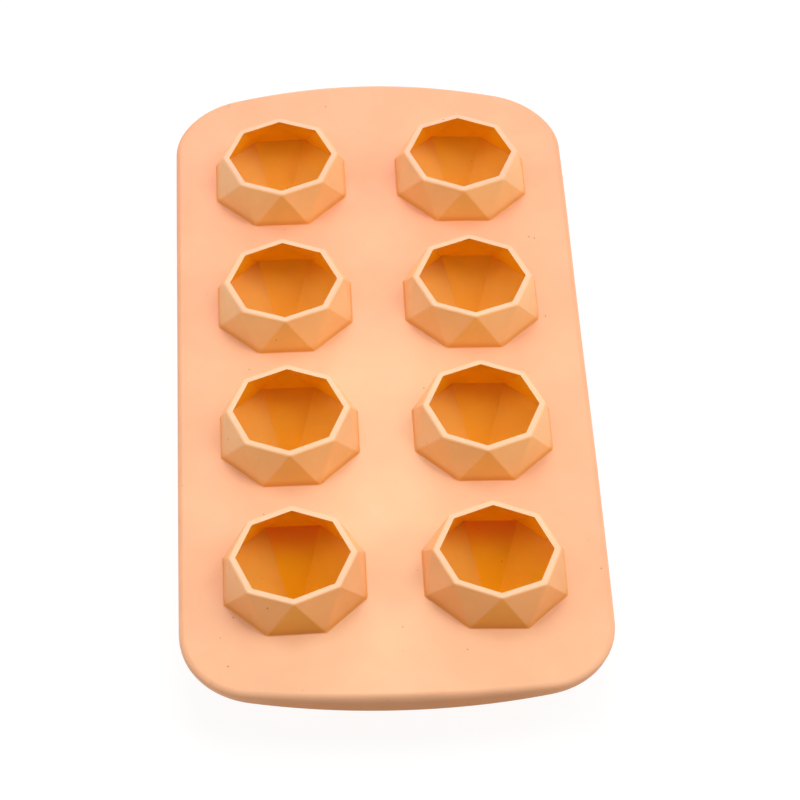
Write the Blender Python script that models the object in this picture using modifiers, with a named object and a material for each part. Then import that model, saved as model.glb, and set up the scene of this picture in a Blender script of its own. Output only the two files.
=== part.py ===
"""Silicone resin casting mould: a tray with eight gem-shaped cavities, in two columns of four.

Metres, +Z up. The origin is on the floor under the middle of the tray, which stands on the flat tips of its
cups. X runs across the tray and Y along it, with row 1 at the -Y end. Each cavity is a cut gem: a crown of
sixteen triangles rises from the deck to an eight-sided mouth, and eight facets taper to a point below it.
"""

import math

import bmesh
import bpy
from mathutils import Vector

OBJECT_NAME = "resin_casting_mould"

# The tray's outline: straight sides, bowed ends and round corners between them.
TRAY_WIDTH = 0.1080
TRAY_LENGTH = 0.2200
CORNER_RADIUS = 0.0209
END_BOW_RADIUS = 0.1920
SIDE_STEPS = 8
CORNER_STEPS = 8
END_STEPS = 12

# The sheet and its turned-down rim.
DECK_THICKNESS = 0.0020
DECK_EDGE_ROUND = 0.0015
EDGE_ROUND_SEGMENTS = 3
ROUND_PROFILE = 0.5
RIM_DROP = 0.0059
RIM_THICKNESS = 0.0020

# The cavities' places.
PITCH_X = 0.0499
PITCH_Y = 0.0477
COLUMNS = {"left": -1, "right": 1}
ROWS = 4

# One gem. Each radius is to the octagon's corners.
SIDES = 8
GIRDLE_RADIUS = 0.01805
MOUTH_RADIUS = 0.01405
CROWN_BASE_RADIUS = 0.0193
LIP_RADIUS = 0.0157
CROWN_HEIGHT = 0.0095
CUP_DEPTH = 0.0198
FLOOR_THICKNESS = 0.0017
FOOT_RADIUS = 0.0036

# Neighbouring regions of the moulding keep this gap between their meshes.
GAP = 0.0003
MERGE_DISTANCE = 0.00001
CUTTER_REACH = 0.0010

# A face whose normal rises less than this is one of a plate's sides.
SIDE_FACE_RISE = 0.5

DECK_TOP = FLOOR_THICKNESS + CUP_DEPTH
DECK_UNDERSIDE = DECK_TOP - DECK_THICKNESS
DECK_MIDDLE = DECK_TOP - DECK_THICKNESS / 2
RIM_BOTTOM = DECK_TOP - RIM_DROP
RIM_TOP = DECK_UNDERSIDE - GAP
HALF_TURN = math.pi / SIDES

SILICONE = {"colour": (0.88, 0.45, 0.22, 1.0), "roughness": 0.55, "metallic": 0.0}


def clear_scene():
    for old in list(bpy.data.objects):
        bpy.data.objects.remove(old, do_unlink=True)


def new_collection(name):
    collection = bpy.data.collections.new(name)
    bpy.context.scene.collection.children.link(collection)
    return collection


def silicone(name):
    """The region's own copy of the moulding's matt peach silicone."""
    material = bpy.data.materials.new(name + "_silicone")
    material.use_nodes = True
    shader = material.node_tree.nodes["Principled BSDF"]
    shader.inputs["Base Color"].default_value = SILICONE["colour"]
    shader.inputs["Roughness"].default_value = SILICONE["roughness"]
    shader.inputs["Metallic"].default_value = SILICONE["metallic"]
    material.diffuse_color = SILICONE["colour"]
    return material


def place(name, mesh, collection, location, parent=None):
    """Adds a mesh to the scene as a named region at a place."""
    ob = bpy.data.objects.new(name, mesh)
    ob.location = location
    ob.parent = parent
    collection.objects.link(ob)
    return ob


def arc(centre, radius, start, end, steps):
    """Points along an arc, without its last one."""
    angles = [start + (end - start) * i / steps for i in range(steps)]
    return [centre + radius * Vector((math.cos(a), math.sin(a))) for a in angles]


def tray_outline(inset):
    """The tray's outline, anticlockwise, moved inwards by inset."""
    half_width = TRAY_WIDTH / 2 - inset
    corner = CORNER_RADIUS - inset
    bow = END_BOW_RADIUS - inset
    bow_centre = Vector((0.0, TRAY_LENGTH / 2 - END_BOW_RADIUS))
    corner_x = half_width - corner
    rise = math.sqrt((bow - corner) ** 2 - corner_x**2)
    corner_y = bow_centre.y + rise
    meet = math.atan2(rise, corner_x)

    side = [Vector((half_width, corner_y * (2 * i / SIDE_STEPS - 1))) for i in range(SIDE_STEPS)]
    right_corner = arc(Vector((corner_x, corner_y)), corner, 0.0, meet, CORNER_STEPS)
    far_end = arc(bow_centre, bow, meet, math.pi - meet, END_STEPS)
    left_corner = arc(Vector((-corner_x, corner_y)), corner, math.pi - meet, math.pi, CORNER_STEPS)
    half = side + right_corner + far_end + left_corner
    return half + [-point for point in half]


def flat_plate(name, outlines, thickness):
    """A closed mesh of a flat outline, or of the band between two, centred on z = 0."""
    curve = bpy.data.curves.new(name, "CURVE")
    curve.dimensions = "2D"
    curve.fill_mode = "BOTH"
    curve.extrude = thickness / 2
    for outline in outlines:
        spline = curve.splines.new("POLY")
        spline.points.add(len(outline) - 1)
        for point, corner in zip(spline.points, outline):
            point.co = (corner.x, corner.y, 0.0, 1.0)
        spline.use_cyclic_u = True

    guide = bpy.data.objects.new(name + "_outline", curve)
    bpy.context.scene.collection.objects.link(guide)
    graph = bpy.context.evaluated_depsgraph_get()
    mesh = bpy.data.meshes.new_from_object(guide.evaluated_get(graph), depsgraph=graph)
    bpy.data.objects.remove(guide)
    mesh.name = name

    bm = bmesh.new()
    bm.from_mesh(mesh)
    bmesh.ops.remove_doubles(bm, verts=bm.verts, dist=MERGE_DISTANCE)
    bmesh.ops.recalc_face_normals(bm, faces=bm.faces)
    bm.to_mesh(mesh)
    bm.free()
    return mesh


def round_top_edge(mesh, radius, segments):
    """Rounds a plate's upper outline."""
    bm = bmesh.new()
    bm.from_mesh(mesh)
    top = max(vertex.co.z for vertex in bm.verts)
    edges = [
        edge
        for edge in bm.edges
        if all(abs(vertex.co.z - top) < MERGE_DISTANCE for vertex in edge.verts)
        and any(abs(face.normal.z) < SIDE_FACE_RISE for face in edge.link_faces)
    ]
    bmesh.ops.bevel(
        bm, geom=edges, offset=radius, segments=segments, profile=ROUND_PROFILE, affect="EDGES"
    )
    bm.to_mesh(mesh)
    bm.free()


def octagon_cutter(name, radius, location, collection):
    """A prism that cuts an octagonal hole with a flat side towards each end of the tray."""
    mesh = bpy.data.meshes.new(name)
    bm = bmesh.new()
    bmesh.ops.create_cone(
        bm,
        cap_ends=True,
        segments=SIDES,
        radius1=radius,
        radius2=radius,
        depth=DECK_THICKNESS + 2 * CUTTER_REACH,
    )
    bm.to_mesh(mesh)
    bm.free()
    cutter = place(name, mesh, collection, location)
    cutter.rotation_euler.z = HALF_TURN
    cutter.hide_render = True
    cutter.display_type = "WIRE"
    return cutter


def make_deck(collection, cutters, sites):
    """The flat sheet, rounded along its upper edge, with a hole for each cavity."""
    mesh = flat_plate("deck", [tray_outline(0.0)], DECK_THICKNESS)
    round_top_edge(mesh, DECK_EDGE_ROUND, EDGE_ROUND_SEGMENTS)
    deck = place("deck", mesh, collection, (0.0, 0.0, DECK_MIDDLE))
    hole_radius = CROWN_BASE_RADIUS + GAP / math.cos(HALF_TURN)
    for label, x, y in sites:
        centre = (x, y, DECK_MIDDLE)
        cut = deck.modifiers.new("hole_" + label, "BOOLEAN")
        cut.operation = "DIFFERENCE"
        cut.solver = "EXACT"
        cut.object = octagon_cutter("hole_cutter_" + label, hole_radius, centre, cutters)
    return deck


def make_rim(collection):
    """The skirt that hangs from the sheet's outline."""
    outlines = [tray_outline(0.0), tray_outline(RIM_THICKNESS)]
    mesh = flat_plate("rim", outlines, RIM_TOP - RIM_BOTTOM)
    return place("rim", mesh, collection, (0.0, 0.0, (RIM_TOP + RIM_BOTTOM) / 2))


def octagon(bm, radius, z, turn):
    angles = [turn + 2 * math.pi * i / SIDES for i in range(SIDES)]
    return [bm.verts.new((radius * math.cos(a), radius * math.sin(a), z)) for a in angles]


def crown_mesh():
    """The raised wall. Each face lofts an octagon to one turned by half a side, in triangles."""
    mesh = bpy.data.meshes.new("crown")
    bm = bmesh.new()
    outer_low = octagon(bm, CROWN_BASE_RADIUS, GAP, HALF_TURN)
    outer_high = octagon(bm, LIP_RADIUS, CROWN_HEIGHT, 0.0)
    inner_low = octagon(bm, GIRDLE_RADIUS, GAP, HALF_TURN)
    inner_high = octagon(bm, MOUTH_RADIUS, CROWN_HEIGHT, 0.0)
    for i in range(SIDES):
        j = (i + 1) % SIDES
        for low, high in ((outer_low, outer_high), (inner_low, inner_high)):
            bm.faces.new((low[i], high[j], high[i]))
            bm.faces.new((low[i], low[j], high[j]))
        bm.faces.new((outer_high[i], outer_high[j], inner_high[j], inner_high[i]))
        bm.faces.new((outer_low[i], inner_low[i], inner_low[j], outer_low[j]))
    bmesh.ops.recalc_face_normals(bm, faces=bm.faces)
    bm.to_mesh(mesh)
    bm.free()
    return mesh


def make_cup(name, collection, location):
    """The pointed lower half of a cavity: an eight-sided turning of its section, down the outside."""
    section = [
        (0.0, FLOOR_THICKNESS),
        (GIRDLE_RADIUS, DECK_TOP),
        (CROWN_BASE_RADIUS, DECK_TOP),
        (CROWN_BASE_RADIUS, DECK_UNDERSIDE),
        (FOOT_RADIUS, 0.0),
        (0.0, 0.0),
    ]
    mesh = bpy.data.meshes.new(name)
    turn = (math.cos(HALF_TURN), math.sin(HALF_TURN))
    points = [(radius * turn[0], radius * turn[1], z) for radius, z in section]
    mesh.from_pydata(points, [(i, i + 1) for i in range(len(points) - 1)], [])
    cup = place(name, mesh, collection, location)
    screw = cup.modifiers.new("eight_sides", "SCREW")
    screw.angle = 2 * math.pi
    screw.steps = SIDES
    screw.render_steps = SIDES
    screw.use_merge_vertices = True
    screw.merge_threshold = MERGE_DISTANCE
    screw.use_smooth_shade = False
    return cup


def cavity_sites():
    """Each cavity's label and centre."""
    return [
        (f"{column}_{row + 1}", side * PITCH_X / 2, (row - (ROWS - 1) / 2) * PITCH_Y)
        for column, side in COLUMNS.items()
        for row in range(ROWS)
    ]


def main():
    clear_scene()
    regions = new_collection(OBJECT_NAME)
    cutters = new_collection("cutters")
    sites = cavity_sites()
    made = [make_deck(regions, cutters, sites), make_rim(regions)]
    crown = crown_mesh()
    for label, x, y in sites:
        made.append(place("crown_" + label, crown.copy(), regions, (x, y, DECK_TOP)))
        made.append(make_cup("cup_" + label, regions, (x, y, 0.0)))
    bpy.data.meshes.remove(crown)

    tray = bpy.data.objects.new("tray", None)
    regions.objects.link(tray)
    for ob in made:
        ob.parent = tray
        ob.data.materials.append(silicone(ob.name))


main()
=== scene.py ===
"""The looks of a silicone resin casting mould: a peach tray with eight gem-shaped cavities.

Every size is in metres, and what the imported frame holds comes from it. The tray stands on the flat tips of
its cups. Each region of the one moulding is its own piece: the sheet, its turned-down rim, and a crown and a
cup for each cavity. Row 1 is at the near end, where -Y is.
"""

import math

import bmesh
import bpy
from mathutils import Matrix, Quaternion, Vector


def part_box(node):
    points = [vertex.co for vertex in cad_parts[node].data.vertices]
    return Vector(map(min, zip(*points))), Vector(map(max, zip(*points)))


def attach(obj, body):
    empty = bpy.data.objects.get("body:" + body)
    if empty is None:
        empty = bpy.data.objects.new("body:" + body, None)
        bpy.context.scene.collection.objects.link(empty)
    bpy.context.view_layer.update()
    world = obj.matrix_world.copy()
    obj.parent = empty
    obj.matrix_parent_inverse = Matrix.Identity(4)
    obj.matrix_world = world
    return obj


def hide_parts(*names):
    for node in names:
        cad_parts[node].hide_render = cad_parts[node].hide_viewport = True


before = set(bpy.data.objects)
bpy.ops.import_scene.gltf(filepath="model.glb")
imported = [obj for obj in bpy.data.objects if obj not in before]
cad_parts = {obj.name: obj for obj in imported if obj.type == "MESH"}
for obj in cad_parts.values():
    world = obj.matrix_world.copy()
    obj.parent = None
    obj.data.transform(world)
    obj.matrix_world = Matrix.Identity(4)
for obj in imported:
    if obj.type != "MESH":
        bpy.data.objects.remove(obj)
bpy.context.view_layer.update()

SIDES = 8
HALF_TURN = math.pi / SIDES
COLUMNS = ("left", "right")
ROWS = (1, 2, 3, 4)

# Sizes that the CAD's boxes don't hold by themselves: corner radii of the gem's octagons, walls and outlines.
GIRDLE_RADIUS = 0.01805
MOUTH_RADIUS = 0.01405
LIP_RADIUS = 0.0158
FOOT_RADIUS = 0.0036
FLOOR_THICKNESS = 0.0017
CORNER_RADIUS = 0.0209
END_BOW_RADIUS = 0.1920
SKIRT_CORNER_RADIUS = 0.0222
SKIRT_BOW_RADIUS = 0.1570
RIM_THICKNESS = 0.0020

# The side of each root's octagon that faces the near end, counted as ring() counts.
FRONT_SIDE = 5

# A wall's facet faces the side when it points this much sideways, and a cup's when it is this far out.
WALL_SIDEWAYS = 0.8
CUP_SIDEWAYS = 0.2

# Softened edges of the moulding.
ROOT_FILLET = 0.0003
CREASE_ROUND = 0.00035
LIP_ROUND = 0.00045
INNER_CREASE_ROUND = 0.00015
SHEET_EDGE_ROUND = 0.0015
RIM_EDGE_ROUND = 0.0004
FOOT_ROUND = 0.0004

# How finely the outline, the roll of its edge and the softened edges are drawn.
SIDE_STEPS = 12
CORNER_STEPS = 24
END_STEPS = 40
ROLL_STEPS = 8
CROWN_SEGMENTS = 4
CUP_SEGMENTS = 3
RIM_SEGMENTS = 3

# The tray is soft. Its sides fall, its corners fall further, its near corners curl down and its far end
# curls up. A ripple runs along it, never above the flat design. All crowns but the last row's lean with it.
SIDE_FALL = 0.0012
CORNER_FALL = 0.0020
CORNER_START = 0.060
NEAR_CORNER_CURL = 0.0023
FAR_END_LIFT = 0.0013
CURL_START = 0.085
RIPPLE = 0.00042
RIPPLE_LENGTH = 0.0954
RIPPLE_CREST = -0.0305
CROWN_LEAN = 1.5
STRAIGHT_FROM = 0.0477
SLOPE_STEP = 0.001
SHEET_STEP = 0.007

# The name of the heights that the meshes carry for their materials.
DESIGN_HEIGHT = "design_height"

# An edge that isn't rounded is shaded as a corner when it turns by more than this.
SHARP_ANGLE = math.radians(25)

# The moulding's tones of one silicone, most with painted light or shade in them, in the order of each
# piece's material slots.
TONES = (
    "sheet",
    "skirt",
    "lip",
    "wall",
    "wall_front_painted_shade",
    "wall_side_painted_light",
    "cavity_crown_painted_light",
    "cavity_end_painted_shade",
    "cavity_left_painted_light",
    "cavity_right_painted_light",
)

# Base colours of the silicone, with light and shade painted into them. It is translucent, and the colours
# paint it palest on the open sheet and deepest in the cavities, and each way that a wall or a cavity faces
# has a painted tone of the light that falls on it or comes through it.
SHEET_MIDDLE = (0.86, 0.480, 0.260, 1.0)
# The sheet's edge tone is painted shade, its near-end tint painted light and its far-end tint painted shade.
SHEET_EDGE = (0.86, 0.410, 0.220, 1.0)
SHEET_NEAR_PAINTED_LIGHT = (1.0, 1.065, 1.060, 1.0)
SHEET_FAR_PAINTED_SHADE = (1.0, 0.925, 0.930, 1.0)
# The lips' paler tones are painted light, where they stand open to the lamps above.
LIP_PAINTED_LIGHT_NEAR = (0.87, 0.525, 0.310, 1.0)
LIP_PAINTED_LIGHT_FAR = (0.83, 0.460, 0.290, 1.0)
# The walls' deeper tone round the first row is painted shade, where no crown in front throws light back.
WALL_NEAR_PAINTED_SHADE = (0.93, 0.422, 0.146, 1.0)
WALL_FAR = (0.98, 0.512, 0.192, 1.0)
# The wall's foot tone is painted shade in the crease where it meets the sheet.
WALL_FOOT_SHADE = (0.87, 0.350, 0.070, 1.0)
# The side facets' pinker tones are painted light from the side lamps.
WALL_SIDE_PAINTED_LIGHT_NEAR = (0.93, 0.455, 0.195, 1.0)
WALL_SIDE_PAINTED_LIGHT_FAR = (0.95, 0.510, 0.232, 1.0)
# The front facets' deeper tones are painted shade.
WALL_FRONT_PAINTED_SHADE_NEAR = (0.95, 0.420, 0.075, 1.0)
WALL_FRONT_PAINTED_SHADE_FAR = (0.98, 0.525, 0.140, 1.0)
# The rim's lower tone is painted shade, darker where its side faces away from the lights.
SKIRT_PAINTED_SHADE = (0.65, 0.270, 0.100, 1.0)
# The crown's cavity tone is painted light, for light that passes through the thin silicone.
CAVITY_CROWN_PAINTED_LIGHT = (0.99, 0.530, 0.004, 1.0)

# The cups' tones just under the girdle and at the point, in the first row and in the last: painted shade
# under the overhanging girdle, and painted light on the side facets where light comes in through the mouth.
CUP_END_PAINTED_SHADE = {
    "girdle_near": (0.97, 0.305, 0.001, 1.0),
    "girdle_far": (0.99, 0.560, 0.001, 1.0),
    "point_near": (0.91, 0.460, 0.001, 1.0),
    "point_far": (0.97, 0.505, 0.060, 1.0),
}
CUP_LEFT_PAINTED_LIGHT = {
    "girdle_near": (0.94, 0.430, 0.027, 1.0),
    "girdle_far": (0.94, 0.440, 0.048, 1.0),
    "point_near": (0.85, 0.440, 0.060, 1.0),
    "point_far": (0.93, 0.495, 0.100, 1.0),
}
CUP_RIGHT_PAINTED_LIGHT = {
    "girdle_near": (0.97, 0.425, 0.001, 1.0),
    "girdle_far": (0.99, 0.480, 0.003, 1.0),
    "point_near": (0.95, 0.470, 0.016, 1.0),
    "point_far": (0.99, 0.535, 0.080, 1.0),
}
SILICONE_IOR = 1.41

# The skin: cloudy marks of handling, patches of gloss, a slight swell and a fine grain. Sizes are how far
# apart each one's features are, heights how far they rise, and pairs the least and the most of a range.
NOISE_RANGE = (0.3, 0.7)
SMUDGE_SIZE = 0.014
SMUDGE_NOISE = (0.3, 0.75)
SMUDGE_TINT = (0.965, 1.03)
GLOSS_SIZE = 0.020
GLOSS_ROUGHNESS = (0.44, 0.58)
PATCHINESS = 0.6
SWELL_SIZE = 0.009
SWELL_HEIGHT = 0.00012
SWELL_STRENGTH = 0.5
GRAIN_SIZE = 0.0007
GRAIN_HEIGHT = 0.00003
GRAIN_STRENGTH = 0.35

# Specks on the skin: dark dust, and finer and fainter pinholes.
DUST_COLOUR = (0.10, 0.045, 0.02, 1.0)
DUST_SPACING = 0.0080
DUST_RADIUS = 0.00028
DUST_STRENGTH = 0.65
DUST_SHIFT = (0.013, 0.037, 0.0)
PINHOLE_COLOUR = (0.42, 0.17, 0.06, 1.0)
PINHOLE_SPACING = 0.0058
PINHOLE_RADIUS = 0.00022
PINHOLE_STRENGTH = 0.55
PINHOLE_SHIFT = (0.021, 0.005, 0.0)
SPECK_CORE = 0.6

# The root of each crown is let into the sheet as an octagonal plug, just wider than its fillet. The top of
# the cup fits inside the plug, its edge a step in from the root.
PLUG_MARGIN = 0.0013
PLUG_STEP = 0.0004

# Stretches along the tray over which tones and the painted light and shade in them change, each as its two
# distances from the middle, and how far they drift to and fro.
WALLS_CHANGE = (-0.075, -0.045)
CUPS_CHANGE = (-0.075, 0.045)
LIPS_CHANGE = (-0.030, 0.080)
SHEET_NEAR_CHANGE = (-0.105, -0.065)
SHEET_FAR_CHANGE = (-0.030, 0.100)
DRIFT_ALONG = 0.03
DRIFT_SIZE = 0.030

# The sheet's painted shade deepens outwards too, from a place on the near side of its middle. Both the shift
# to that place and the range of the change are shares of the sheet's half-length and half-width.
SHEET_MIDDLE_SHIFT = 0.32
SHEET_OUTWARD_CHANGE = (0.3, 1.3)
SHEET_DRIFT = 0.8
SHEET_DRIFT_SIZE = 0.060

# How far below its top the rim starts to take its painted shade and is fully shaded, how far a wall's painted
# shade at its foot runs up and down from the sheet, the share of a cup's height where the painted shade under
# its girdle has faded, and how much of the sheet's tone shows in patches on the lips.
SKIRT_SHADE_FROM = 0.0003
SKIRT_SHADE_BY = 0.0028
WALL_FOOT_UP = 0.0022
WALL_FOOT_DOWN = 0.0005
GIRDLE_SHADE_FROM = 0.68
LIP_BLEND = 0.5

deck_low, deck_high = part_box("deck")
rim_low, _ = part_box("rim")
DECK_TOP = deck_high[2]
DECK_UNDERSIDE = deck_low[2]
RIM_BOTTOM = rim_low[2]
HALF_WIDTH = deck_high[0]
HALF_LENGTH = deck_high[1]
crown_low, crown_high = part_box("crown_left_1")
CROWN_BASE_RADIUS = (crown_high[0] - crown_low[0]) / 2 / math.cos(HALF_TURN)
LIP_TOP = crown_high[2]
PLUG_RADIUS = CROWN_BASE_RADIUS + PLUG_MARGIN
STEP_RADIUS = CROWN_BASE_RADIUS - PLUG_STEP


def cavity_centre(label):
    """Where a cavity's axis stands, from its crown's box."""
    low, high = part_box("crown_" + label)
    return (low[0] + high[0]) / 2, (low[1] + high[1]) / 2


# ---------------------------------------------------------------- mesh helpers


def new_mesh():
    """An empty mesh that can hold each edge's rounding and each point's height in the flat design."""
    bm = bmesh.new()
    bm.edges.layers.float.new("bevel_weight_edge")
    bm.verts.layers.float.new(DESIGN_HEIGHT)
    return bm


def ring(bm, centre, radius, z, turn):
    """The corners of an octagon, anticlockwise."""
    corners = []
    for i in range(SIDES):
        angle = turn + 2 * math.pi * i / SIDES
        x = centre[0] + radius * math.cos(angle)
        y = centre[1] + radius * math.sin(angle)
        corners.append(bm.verts.new((x, y, z)))
    return corners


def band(bm, lower, upper):
    """Quads between two octagons that face the same way."""
    quads = []
    for i in range(SIDES):
        j = (i + 1) % SIDES
        quads.append(bm.faces.new((lower[i], lower[j], upper[j], upper[i])))
    return quads


def loft(bm, low, high):
    """Triangles between an octagon and one turned back by half a side, and their slanting creases."""
    facets = []
    creases = []
    for i in range(SIDES):
        j = (i + 1) % SIDES
        facets.append(bm.faces.new((low[i], high[j], high[i])))
        facets.append(bm.faces.new((low[i], low[j], high[j])))
        creases.append(bm.edges.get((low[i], high[i])))
        creases.append(bm.edges.get((low[i], high[j])))
    return facets, creases


def ring_edges(bm, points):
    """The edges of a closed ring of points."""
    return [bm.edges.get((points[i], points[(i + 1) % len(points)])) for i in range(len(points))]


def square_reach(distance, start, end):
    """How far a distance is past a start, from 0 there to 1 at the end, squared."""
    return max(0.0, (distance - start) / (end - start)) ** 2


def sheet_shift(x, y, height_share):
    """How far settling lifts the top of the sheet, or a point under it at that share of its height."""
    across = (x / HALF_WIDTH) ** 2
    corner = across * square_reach(abs(y), CORNER_START, HALF_LENGTH)
    end_lift = FAR_END_LIFT * square_reach(y, CURL_START, HALF_LENGTH)
    along = max(y - RIPPLE_CREST, -RIPPLE_LENGTH / 2) / RIPPLE_LENGTH
    ripple = RIPPLE * (1.0 - math.cos(2 * math.pi * along))
    shift = height_share * (end_lift - ripple - SIDE_FALL * across - CORNER_FALL * corner)
    if y < 0.0:
        edge_share = max(0.0, 1.0 - (1.0 - height_share) * DECK_TOP / (DECK_TOP - RIM_BOTTOM))
        shift -= edge_share * NEAR_CORNER_CURL * corner
    return shift


def sag(point):
    """Where a point of the flat design lies once the soft tray has settled, standing on its cups."""
    x, y, z = point
    settled = Vector((x, y, z + sheet_shift(x, y, min(1.0, z / DECK_TOP))))
    if z > DECK_TOP and y < STRAIGHT_FROM:
        lean = CROWN_LEAN * (z - DECK_TOP) / (2 * SLOPE_STEP)
        settled.x += lean * (sheet_shift(x - SLOPE_STEP, y, 1.0) - sheet_shift(x + SLOPE_STEP, y, 1.0))
        settled.y += lean * (sheet_shift(x, y - SLOPE_STEP, 1.0) - sheet_shift(x, y + SLOPE_STEP, 1.0))
    return settled


def split_long_edges(bm, longest):
    """Divides a mesh's long edges, so that it can follow the sag."""
    long = [edge for edge in bm.edges if edge.calc_length() > longest]
    while long:
        bmesh.ops.subdivide_edges(bm, edges=long, cuts=1, use_grid_fill=False)
        long = [edge for edge in bm.edges if edge.calc_length() > longest]


def paint(bm, faces, tone):
    """Gives some faces of a mesh one of the piece's materials, by its place in TONES."""
    for face in faces:
        face.material_index = TONES.index(tone)


def finish_mesh(name, bm, edge_rounds, segments):
    """Makes the piece, with its edges rounded by their own widths, shaded smooth with true flats."""
    widest = max(edge_rounds.values()) if edge_rounds else 0.0
    bmesh.ops.recalc_face_normals(bm, faces=bm.faces)
    weights = bm.edges.layers.float["bevel_weight_edge"]
    for edge in bm.edges:
        edge[weights] = edge_rounds.get(edge, 0.0) / widest if widest else 0.0
        edge.smooth = edge in edge_rounds or edge.calc_face_angle(0.0) < SHARP_ANGLE
    heights = bm.verts.layers.float[DESIGN_HEIGHT]
    for vertex in bm.verts:
        vertex[heights] = vertex.co.z
        vertex.co = sag(vertex.co)
    mesh = bpy.data.meshes.new(name)
    bm.to_mesh(mesh)
    bm.free()
    mesh.shade_smooth()
    piece = bpy.data.objects.new(name, mesh)
    bpy.context.scene.collection.objects.link(piece)
    if edge_rounds:
        bevel = piece.modifiers.new("soft_edges", "BEVEL")
        bevel.limit_method = "WEIGHT"
        bevel.width = widest
        bevel.segments = segments
        bevel.use_clamp_overlap = True
    flats = piece.modifiers.new("true_flats", "WEIGHTED_NORMAL")
    flats.keep_sharp = True
    return piece


# ---------------------------------------------------------------- pieces


def side_tone(sideways):
    """The painted light and shade of a cup's facet, by how far to the right of the cup's middle its own
    middle is.
    """
    if abs(sideways) < CUP_SIDEWAYS:
        return "cavity_end_painted_shade"
    return "cavity_left_painted_light" if sideways < 0 else "cavity_right_painted_light"


def make_crown(label):
    """The raised wall round a mouth, with the plug that lets its root into the sheet."""
    x, y = centre = cavity_centre(label)
    bm = new_mesh()
    girdle = ring(bm, centre, GIRDLE_RADIUS, DECK_TOP, HALF_TURN)
    mouth = ring(bm, centre, MOUTH_RADIUS, LIP_TOP, 0.0)
    lip = ring(bm, centre, LIP_RADIUS, LIP_TOP, 0.0)
    root = ring(bm, centre, CROWN_BASE_RADIUS, DECK_TOP, HALF_TURN)
    plug = ring(bm, centre, PLUG_RADIUS, DECK_TOP, HALF_TURN)
    plug_low = ring(bm, centre, PLUG_RADIUS, DECK_UNDERSIDE, HALF_TURN)
    step_low = ring(bm, centre, STEP_RADIUS, DECK_UNDERSIDE, HALF_TURN)
    step = ring(bm, centre, STEP_RADIUS, DECK_TOP, HALF_TURN)
    inner_facets, inner_creases = loft(bm, girdle, mouth)
    outer_facets, outer_creases = loft(bm, root, lip)
    # The inside of the crown gets painted light.
    paint(bm, inner_facets, "cavity_crown_painted_light")
    # Side facets get painted light and the low front facet painted shade.
    for facet in outer_facets:
        outward = facet.calc_center_median() - Vector((x, y, 0.0))
        sideways = abs(outward.x) / math.hypot(outward.x, outward.y)
        paint(bm, [facet], "wall_side_painted_light" if sideways > WALL_SIDEWAYS else "wall")
    paint(bm, [outer_facets[2 * FRONT_SIDE + 1]], "wall_front_painted_shade")
    paint(bm, band(bm, mouth, lip), "lip")
    band(bm, plug, root)
    band(bm, plug_low, plug)
    band(bm, step_low, plug_low)
    band(bm, step, step_low)
    band(bm, girdle, step)
    rounds = {edge: CREASE_ROUND for edge in outer_creases}
    rounds.update({edge: INNER_CREASE_ROUND for edge in inner_creases})
    rounds.update({edge: LIP_ROUND for edge in ring_edges(bm, lip)})
    rounds.update({edge: INNER_CREASE_ROUND for edge in ring_edges(bm, mouth)})
    rounds.update({edge: ROOT_FILLET for edge in ring_edges(bm, root)})
    return finish_mesh("crown_piece_" + label, bm, rounds, CROWN_SEGMENTS)


def make_cup(label):
    """The pointed lower half of a cavity and its wall, down to the flat tip it stands on."""
    centre = cavity_centre(label)
    bm = new_mesh()
    point = bm.verts.new((centre[0], centre[1], FLOOR_THICKNESS))
    girdle = ring(bm, centre, GIRDLE_RADIUS, DECK_TOP, HALF_TURN)
    step = ring(bm, centre, STEP_RADIUS, DECK_TOP, HALF_TURN)
    shoulder = ring(bm, centre, STEP_RADIUS, DECK_UNDERSIDE, HALF_TURN)
    foot = ring(bm, centre, FOOT_RADIUS, 0.0, HALF_TURN)
    # Each facet gets a painted tone of the light that falls on the way it faces.
    for i in range(SIDES):
        facet = bm.faces.new((girdle[i], girdle[(i + 1) % SIDES], point))
        sideways = (facet.calc_center_median().x - centre[0]) / GIRDLE_RADIUS
        paint(bm, [facet], side_tone(sideways))
    band(bm, girdle, step)
    band(bm, step, shoulder)
    paint(bm, band(bm, shoulder, foot), "wall")
    paint(bm, [bm.faces.new(foot)], "wall")
    rounds = {bm.edges.get((corner, point)): INNER_CREASE_ROUND for corner in girdle}
    rounds.update({bm.edges.get((shoulder[i], foot[i])): CREASE_ROUND for i in range(SIDES)})
    rounds.update({edge: FOOT_ROUND for edge in ring_edges(bm, foot)})
    return finish_mesh("cup_piece_" + label, bm, rounds, CUP_SEGMENTS)


def arc(centre, radius, start, end, steps):
    """Points along an arc, without its last one."""
    angles = [start + (end - start) * i / steps for i in range(steps)]
    return [centre + radius * Vector((math.cos(a), math.sin(a))) for a in angles]


def tray_outline(inset, corner_radius, bow_radius):
    """The tray's outline, anticlockwise, moved inwards by inset: straight sides and bowed ends."""
    half_width = HALF_WIDTH - inset
    corner = corner_radius - inset
    bow = bow_radius - inset
    bow_centre = Vector((0.0, HALF_LENGTH - bow_radius))
    corner_x = half_width - corner
    rise = math.sqrt((bow - corner) ** 2 - corner_x**2)
    corner_y = bow_centre.y + rise
    meet = math.atan2(rise, corner_x)
    side = [Vector((half_width, corner_y * (2 * i / SIDE_STEPS - 1))) for i in range(SIDE_STEPS)]
    right_corner = arc(Vector((corner_x, corner_y)), corner, 0.0, meet, CORNER_STEPS)
    far_end = arc(bow_centre, bow, meet, math.pi - meet, END_STEPS)
    left_corner = arc(Vector((-corner_x, corner_y)), corner, math.pi - meet, math.pi, CORNER_STEPS)
    half = side + right_corner + far_end + left_corner
    return half + [-point for point in half]


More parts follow.
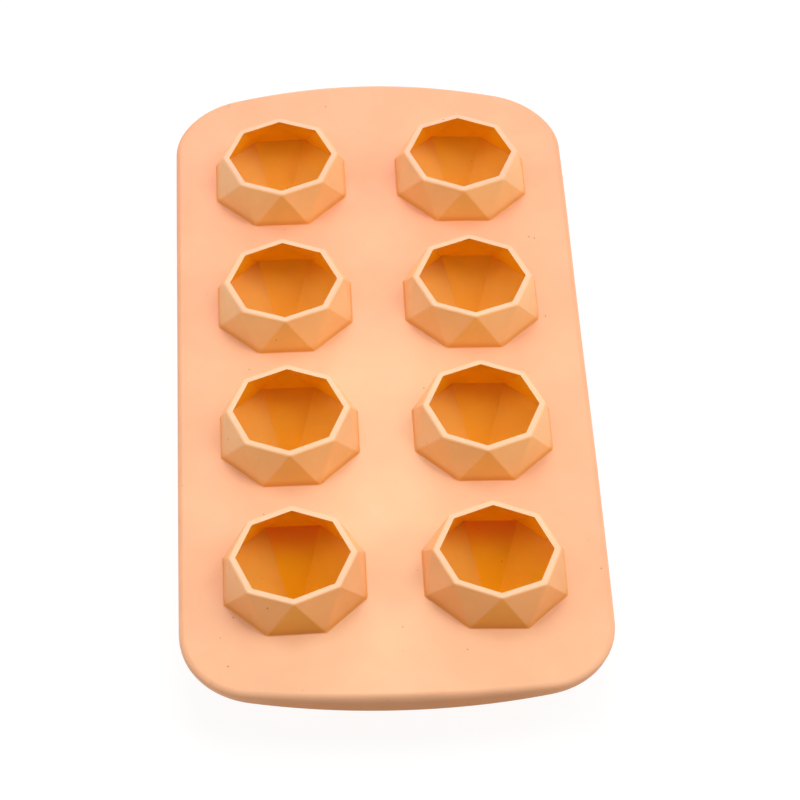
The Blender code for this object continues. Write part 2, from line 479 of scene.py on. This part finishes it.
def sheet_ring(bm, inset, z):
    """The sheet's outline at a height, moved inwards by inset."""
    outline = tray_outline(inset, CORNER_RADIUS, END_BOW_RADIUS)
    return [bm.verts.new((point.x, point.y, z)) for point in outline]


def skirt_ring(bm, inset, z):
    """The rim's lower outline, a little blunter at the corners than the sheet's."""
    outline = tray_outline(inset, SKIRT_CORNER_RADIUS, SKIRT_BOW_RADIUS)
    return [bm.verts.new((point.x, point.y, z)) for point in outline]


def wall(bm, first, second):
    """Quads between two outlines."""
    for i in range(len(first)):
        j = (i + 1) % len(first)
        bm.faces.new((first[i], first[j], second[j], second[i]))


def make_deck():
    """The flat sheet, its edge rolled over, with an octagonal hole for each crown's root."""
    bm = new_mesh()
    centres = [cavity_centre(f"{column}_{row}") for column in COLUMNS for row in ROWS]
    rolled = []
    for i in range(ROLL_STEPS + 1):
        turn = math.pi / 2 * i / ROLL_STEPS
        inset = SHEET_EDGE_ROUND * (1 - math.sin(turn))
        drop = SHEET_EDGE_ROUND * (1 - math.cos(turn))
        rolled.append(sheet_ring(bm, inset, DECK_TOP - drop))
    underside = sheet_ring(bm, 0.0, DECK_UNDERSIDE)
    for first, second in zip(rolled, rolled[1:] + [underside]):
        wall(bm, first, second)
    # The rolled edge takes the rim's tone, with painted shade lower down.
    paint(bm, bm.faces, "skirt")
    top_holes = [ring(bm, c, PLUG_RADIUS, DECK_TOP, HALF_TURN) for c in centres]
    low_holes = [ring(bm, c, PLUG_RADIUS, DECK_UNDERSIDE, HALF_TURN) for c in centres]
    for top, low in zip(top_holes, low_holes):
        band(bm, top, low)
    bm.edges.ensure_lookup_table()
    for outline, holes in ((rolled[0], top_holes), (underside, low_holes)):
        edges = ring_edges(bm, outline) + [e for hole in holes for e in ring_edges(bm, hole)]
        bmesh.ops.triangle_fill(bm, use_beauty=True, use_dissolve=False, edges=edges)
    split_long_edges(bm, SHEET_STEP)
    return finish_mesh("deck_piece", bm, {}, 1)


def make_rim():
    """The skirt that hangs from the sheet's outline."""
    bm = new_mesh()
    outer_top = sheet_ring(bm, 0.0, DECK_UNDERSIDE)
    outer_low = skirt_ring(bm, 0.0, RIM_BOTTOM)
    inner_low = skirt_ring(bm, RIM_THICKNESS, RIM_BOTTOM)
    inner_top = sheet_ring(bm, RIM_THICKNESS, DECK_UNDERSIDE)
    for first, second in (
        (outer_top, outer_low),
        (outer_low, inner_low),
        (inner_low, inner_top),
        (inner_top, outer_top),
    ):
        wall(bm, first, second)
    # The rim's tone, with painted shade on its lower part.
    paint(bm, bm.faces, "skirt")
    rounds = {edge: RIM_EDGE_ROUND for edge in ring_edges(bm, outer_low) + ring_edges(bm, inner_low)}
    return finish_mesh("rim_piece", bm, rounds, RIM_SEGMENTS)


# ---------------------------------------------------------------- material


# A Mix node's colour sockets, by number, since its sockets for other kinds of value share their names.
MIX_FACTOR = 0
MIX_FIRST = 6
MIX_SECOND = 7
MIX_RESULT = 2


class Nodes:
    """A short way to add shader nodes to one material and to join them."""

    def __init__(self, material):
        self.tree = material.node_tree
        self.shader = material.node_tree.nodes["Principled BSDF"]

    def add(self, kind, settings=None, **sockets):
        """A new node of a kind, with its settings, and with its sockets joined or set."""
        node = self.tree.nodes.new("ShaderNode" + kind)
        for name, value in (settings or {}).items():
            setattr(node, name, value)
        for name, value in sockets.items():
            self.join(value, node.inputs[name])
        return node

    def join(self, value, socket):
        """Links another node's socket to this one, or sets it to a plain value."""
        if isinstance(value, bpy.types.NodeSocket):
            self.tree.links.new(value, socket)
        else:
            socket.default_value = value

    def place(self):
        """Places in metres, one set for every piece, so that patterns run on across the joints."""
        return self.add("TexCoord").outputs["Object"]

    def height(self):
        """Height in the flat design, so that tones follow the moulding's features where it has settled."""
        return self.add("Attribute", {"attribute_name": DESIGN_HEIGHT}).outputs["Fac"]

    def noise(self, size, detail, roughness=0.5):
        """Noise from 0 to 1 with features about this many metres across."""
        node = self.add("TexNoise", Vector=self.place(), Scale=1 / size, Detail=detail, Roughness=roughness)
        return node.outputs["Fac"]

    def remap(self, value, low, high, to_low, to_high):
        """Turns low-to-high into to_low-to-to_high, smoothly, with nothing outside it."""
        node = self.add("MapRange", {"interpolation_type": "SMOOTHSTEP"}, Value=value)
        node.inputs["From Min"].default_value = low
        node.inputs["From Max"].default_value = high
        node.inputs["To Min"].default_value = to_low
        node.inputs["To Max"].default_value = to_high
        return node.outputs["Result"]

    def mix(self, factor, first, second, blend="MIX"):
        """The first colour at factor 0 and the second at 1, or the two blended."""
        node = self.add("Mix", {"data_type": "RGBA", "blend_type": blend})
        self.join(factor, node.inputs[MIX_FACTOR])
        self.join(first, node.inputs[MIX_FIRST])
        self.join(second, node.inputs[MIX_SECOND])
        return node.outputs[MIX_RESULT]


def specks(nodes, colour, speck_colour, spacing, radius, strength, shift):
    """Sparse round specks: balls scattered in space about this far apart, cut by the skin."""
    place = nodes.add("VectorMath", {"operation": "ADD"})
    nodes.join(nodes.place(), place.inputs[0])
    place.inputs[1].default_value = shift
    scattered = nodes.add("TexVoronoi", Vector=place.outputs["Vector"], Scale=1 / spacing)
    reach = radius / spacing
    cover = nodes.remap(scattered.outputs["Distance"], SPECK_CORE * reach, reach, strength, 0.0)
    return nodes.mix(cover, colour, speck_colour)


def dust(nodes, colour):
    """Dark specks about half a millimetre across."""
    return specks(nodes, colour, DUST_COLOUR, DUST_SPACING, DUST_RADIUS, DUST_STRENGTH, DUST_SHIFT)


def pinholes(nodes, colour):
    """Fainter specks, smaller and more of them."""
    return specks(
        nodes, colour, PINHOLE_COLOUR, PINHOLE_SPACING, PINHOLE_RADIUS, PINHOLE_STRENGTH, PINHOLE_SHIFT
    )


def smudges(nodes, colour):
    """Faint cloudy marks left by handling, a centimetre or so across."""
    clouds = nodes.noise(SMUDGE_SIZE, detail=4.0, roughness=PATCHINESS)
    shade = nodes.remap(clouds, *SMUDGE_NOISE, *SMUDGE_TINT)
    tint = nodes.add("CombineColor", Red=shade, Green=shade, Blue=shade).outputs["Color"]
    return nodes.mix(1.0, colour, tint, "MULTIPLY")


def skin(nodes):
    """The satin skin: patchy gloss, a slightly uneven surface and a fine moulded grain."""
    patches = nodes.noise(GLOSS_SIZE, detail=5.0, roughness=PATCHINESS)
    gloss = nodes.remap(patches, *NOISE_RANGE, *GLOSS_ROUGHNESS)
    nodes.join(gloss, nodes.shader.inputs["Roughness"])
    swell = nodes.add("Bump", Strength=SWELL_STRENGTH, Distance=SWELL_HEIGHT)
    nodes.join(nodes.noise(SWELL_SIZE, detail=2.0), swell.inputs["Height"])
    grain = nodes.add("Bump", Strength=GRAIN_STRENGTH, Distance=GRAIN_HEIGHT)
    nodes.join(nodes.noise(GRAIN_SIZE, detail=3.0), grain.inputs["Height"])
    nodes.join(swell.outputs["Normal"], grain.inputs["Normal"])
    nodes.join(grain.outputs["Normal"], nodes.shader.inputs["Normal"])


def silicone(name, colour_of):
    """Peach silicone whose base tone comes from colour_of, with what every face of it has."""
    material = bpy.data.materials.new(name)
    material.use_nodes = True
    nodes = Nodes(material)
    colour = dust(nodes, pinholes(nodes, smudges(nodes, colour_of(nodes))))
    nodes.join(colour, nodes.shader.inputs["Base Color"])
    nodes.shader.inputs["IOR"].default_value = SILICONE_IOR
    skin(nodes)
    return material


def sheet_tone(nodes):
    """Painted light and shade: palest and yellowest in the middle and near end, pinker towards the sides and
    far end.
    """
    place = nodes.add("VectorMath", {"operation": "MULTIPLY_ADD"})
    nodes.join(nodes.place(), place.inputs[0])
    place.inputs[1].default_value = (1 / HALF_WIDTH, 1 / HALF_LENGTH, 0.0)
    place.inputs[2].default_value = (0.0, SHEET_MIDDLE_SHIFT, 0.0)
    reach = nodes.add("VectorMath", {"operation": "LENGTH"})
    nodes.join(place.outputs["Vector"], reach.inputs[0])
    outward = nodes.add("Math", {"operation": "MULTIPLY_ADD"})
    nodes.join(nodes.noise(SHEET_DRIFT_SIZE, detail=1.0), outward.inputs[0])
    outward.inputs[1].default_value = SHEET_DRIFT
    nodes.join(reach.outputs["Value"], outward.inputs[2])
    edge = nodes.remap(outward.outputs["Value"], *SHEET_OUTWARD_CHANGE, 0.0, 1.0)
    along = nodes.add("SeparateXYZ", Vector=nodes.place()).outputs["Y"]
    near_end = nodes.remap(along, *SHEET_NEAR_CHANGE, 1.0, 0.0)
    far_end = nodes.remap(along, *SHEET_FAR_CHANGE, 0.0, 1.0)
    colour = nodes.mix(edge, SHEET_MIDDLE, SHEET_EDGE)
    colour = nodes.mix(near_end, colour, SHEET_NEAR_PAINTED_LIGHT, "MULTIPLY")
    return nodes.mix(far_end, colour, SHEET_FAR_PAINTED_SHADE, "MULTIPLY")


def skirt_tone(nodes):
    """The turned-down rim: the sheet's own tone where its edge rolls over, and painted shade, browner, below
    that.
    """
    down = nodes.remap(nodes.height(), DECK_TOP - SKIRT_SHADE_BY, DECK_TOP - SKIRT_SHADE_FROM, 1.0, 0.0)
    return nodes.mix(down, sheet_tone(nodes), SKIRT_PAINTED_SHADE)


def lip_tone(nodes):
    """The flat ring round each mouth, painted light as the palest part, a little pinker in the far rows."""
    pale = nodes.mix(along_tray(nodes, LIPS_CHANGE), LIP_PAINTED_LIGHT_NEAR, LIP_PAINTED_LIGHT_FAR)
    patches = nodes.remap(nodes.noise(DRIFT_SIZE, detail=2.0), *NOISE_RANGE, 0.0, LIP_BLEND)
    return nodes.mix(patches, pale, SHEET_MIDDLE)


def along_tray(nodes, change):
    """Rises unevenly from 0 to 1 over a stretch along the tray."""
    start, end = change
    along = nodes.add("Math", {"operation": "MULTIPLY_ADD"})
    nodes.join(nodes.noise(DRIFT_SIZE, detail=2.0), along.inputs[0])
    along.inputs[1].default_value = DRIFT_ALONG
    nodes.join(nodes.add("SeparateXYZ", Vector=nodes.place()).outputs["Y"], along.inputs[2])
    return nodes.remap(along.outputs["Value"], start + DRIFT_ALONG / 2, end + DRIFT_ALONG / 2, 0.0, 1.0)


def with_foot_shade(nodes, face):
    """A wall's own tone, with painted shade a little deeper where it runs down into the sheet."""
    height = nodes.height()
    near_sheet = nodes.remap(height, DECK_TOP, DECK_TOP + WALL_FOOT_UP, 1.0, 0.0)
    crown_only = nodes.remap(height, DECK_TOP - WALL_FOOT_DOWN, DECK_TOP, 0.0, 1.0)
    both = nodes.add("Math", {"operation": "MULTIPLY"})
    nodes.join(near_sheet, both.inputs[0])
    nodes.join(crown_only, both.inputs[1])
    return nodes.mix(both.outputs["Value"], face, WALL_FOOT_SHADE)


def wall_tone(nodes):
    """The crowns' outer walls, with painted shade deeper round the first row."""
    return with_foot_shade(nodes, nodes.mix(along_tray(nodes, WALLS_CHANGE), WALL_NEAR_PAINTED_SHADE, WALL_FAR))


def wall_side_tone(nodes):
    """The facets that face the tray's sides, a little pinker with painted light from the side lamps."""
    return with_foot_shade(nodes, nodes.mix(along_tray(nodes, WALLS_CHANGE), WALL_SIDE_PAINTED_LIGHT_NEAR, WALL_SIDE_PAINTED_LIGHT_FAR))


def wall_front_tone(nodes):
    """The low front facet of each crown, in painted shade, as it gets most of its light from the sheet below.
    """
    return with_foot_shade(nodes, nodes.mix(along_tray(nodes, WALLS_CHANGE), WALL_FRONT_PAINTED_SHADE_NEAR, WALL_FRONT_PAINTED_SHADE_FAR))


def cavity_crown_tone(_):
    """Painted light inside a crown: bright orange for the light that comes through its thin wall."""
    return CAVITY_CROWN_PAINTED_LIGHT


def cup_tone(tones):
    """Deep orange where light is trapped: painted light and shade, reddest just under the girdle, lighter to
    the point.
    """

    def colour_of(nodes):
        along = along_tray(nodes, CUPS_CHANGE)
        girdle = nodes.mix(along, tones["girdle_near"], tones["girdle_far"])
        point = nodes.mix(along, tones["point_near"], tones["point_far"])
        up = nodes.remap(nodes.height(), GIRDLE_SHADE_FROM * DECK_TOP, DECK_TOP, 0.0, 1.0)
        return nodes.mix(up, point, girdle)

    return colour_of


def make_materials():
    """One silicone in each of its tones, in the order of TONES."""
    tone_of = {
        "sheet": sheet_tone,
        "skirt": skirt_tone,
        "lip": lip_tone,
        "wall": wall_tone,
        "wall_front_painted_shade": wall_front_tone,
        "wall_side_painted_light": wall_side_tone,
        "cavity_crown_painted_light": cavity_crown_tone,
        "cavity_end_painted_shade": cup_tone(CUP_END_PAINTED_SHADE),
        "cavity_left_painted_light": cup_tone(CUP_LEFT_PAINTED_LIGHT),
        "cavity_right_painted_light": cup_tone(CUP_RIGHT_PAINTED_LIGHT),
    }
    return [silicone("peach_silicone_" + tone, tone_of[tone]) for tone in TONES]


def make_pieces():
    """Every piece of the moulding, with the CAD node it replaces."""
    pieces = [(make_deck(), "deck"), (make_rim(), "rim")]
    for column in COLUMNS:
        for row in ROWS:
            label = f"{column}_{row}"
            pieces.append((make_crown(label), "crown_" + label))
            pieces.append((make_cup(label), "cup_" + label))
    return pieces


# ---------------------------------------------------------------- studio


WHITE = (1.0, 1.0, 1.0, 1.0)

CAMERA_AIM = (0.00419, -0.01237, DECK_TOP - 0.0008)
CAMERA_DISTANCE = 0.8685
CAMERA_AZIMUTH = -3.62
CAMERA_ELEVATION = 47.19
CAMERA_ROLL = -1.13
CAMERA_LENS = 149.33
SENSOR_WIDTH = 36.0

FLOOR_REACH = 20.0
FLOOR_COLOUR = (0.08, 0.08, 0.08, 1.0)
FLOOR_ROUGHNESS = 0.9
FLOOR_GLOW = 0.915

SOFTBOX_WIDTH = 1.2
SOFTBOX_DISTANCE = 2.4

# Each softbox's name, azimuth and elevation in degrees, and power in watts.
SOFTBOXES = (
    ("overhead", 180, 89.9, 9.6),
    ("back_high", 180, 60, 17.4),
    ("back_low", 180, 25, 15.2),
    ("right_high", 90, 60, 21.0),
    ("right_low", 90, 25, 14.0),
    ("left_high", 270, 60, 8.6),
    ("left_low", 270, 25, 10.6),
)

WORLD_STRENGTH = 0.15


def look_from(ob, place, target, roll):
    """Stands a camera or light at a place, looking at a target and rolled about that line."""
    aim = (Vector(target) - Vector(place)).normalized()
    ob.rotation_mode = "QUATERNION"
    ob.location = place
    turn = aim.to_track_quat("-Z", "Y")
    ob.rotation_quaternion = Quaternion(aim, roll) @ turn


def away_from_tray(azimuth, elevation):
    """The way to a place, in degrees: azimuth 0 is the near end, 90 the right, and elevation 90 overhead."""
    a = math.radians(azimuth)
    e = math.radians(elevation)
    return Vector((math.sin(a) * math.cos(e), -math.cos(a) * math.cos(e), math.sin(e)))


def make_camera():
    """The camera, a little left of the near end and well above it, with a long lens."""
    data = bpy.data.cameras.new("camera")
    data.lens = CAMERA_LENS
    data.sensor_width = SENSOR_WIDTH
    camera = bpy.data.objects.new("camera", data)
    bpy.context.scene.collection.objects.link(camera)
    away = away_from_tray(CAMERA_AZIMUTH, CAMERA_ELEVATION)
    look_from(camera, Vector(CAMERA_AIM) + CAMERA_DISTANCE * away, CAMERA_AIM, math.radians(CAMERA_ROLL))
    bpy.context.scene.camera = camera


def make_floor():
    """A plain floor that glows nearly white by itself, so that the tray's shadow on it is slight."""
    mesh = bpy.data.meshes.new("floor")
    bm = bmesh.new()
    bmesh.ops.create_grid(bm, x_segments=1, y_segments=1, size=FLOOR_REACH)
    bm.to_mesh(mesh)
    bm.free()
    floor = bpy.data.objects.new("floor", mesh)
    bpy.context.scene.collection.objects.link(floor)
    material = bpy.data.materials.new("pale_floor")
    material.use_nodes = True
    shader = material.node_tree.nodes["Principled BSDF"]
    shader.inputs["Base Color"].default_value = FLOOR_COLOUR
    shader.inputs["Roughness"].default_value = FLOOR_ROUGHNESS
    shader.inputs["Emission Color"].default_value = WHITE
    shader.inputs["Emission Strength"].default_value = FLOOR_GLOW
    mesh.materials.append(material)
    return floor


def softbox(name, azimuth, elevation, power):
    """A round softbox aimed at the tray from a direction."""
    data = bpy.data.lights.new(name, "AREA")
    data.shape = "DISK"
    data.size = SOFTBOX_WIDTH
    data.energy = power
    light = bpy.data.objects.new(name, data)
    bpy.context.scene.collection.objects.link(light)
    look_from(light, SOFTBOX_DISTANCE * away_from_tray(azimuth, elevation), (0.0, 0.0, 0.0), 0.0)


def make_world():
    """An even white surround, much weaker than the softboxes."""
    world = bpy.data.worlds.new("studio")
    world.use_nodes = True
    background = world.node_tree.nodes["Background"]
    background.inputs["Color"].default_value = WHITE
    background.inputs["Strength"].default_value = WORLD_STRENGTH
    bpy.context.scene.world = world


materials = make_materials()
for piece, node in make_pieces():
    for material in materials:
        piece.data.materials.append(material)
    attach(piece, "root")
    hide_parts(node)

make_camera()
make_floor()
for name, azimuth, elevation, power in SOFTBOXES:
    softbox(name, azimuth, elevation, power)
make_world()
bpy.context.scene.view_settings.view_transform = "Standard"
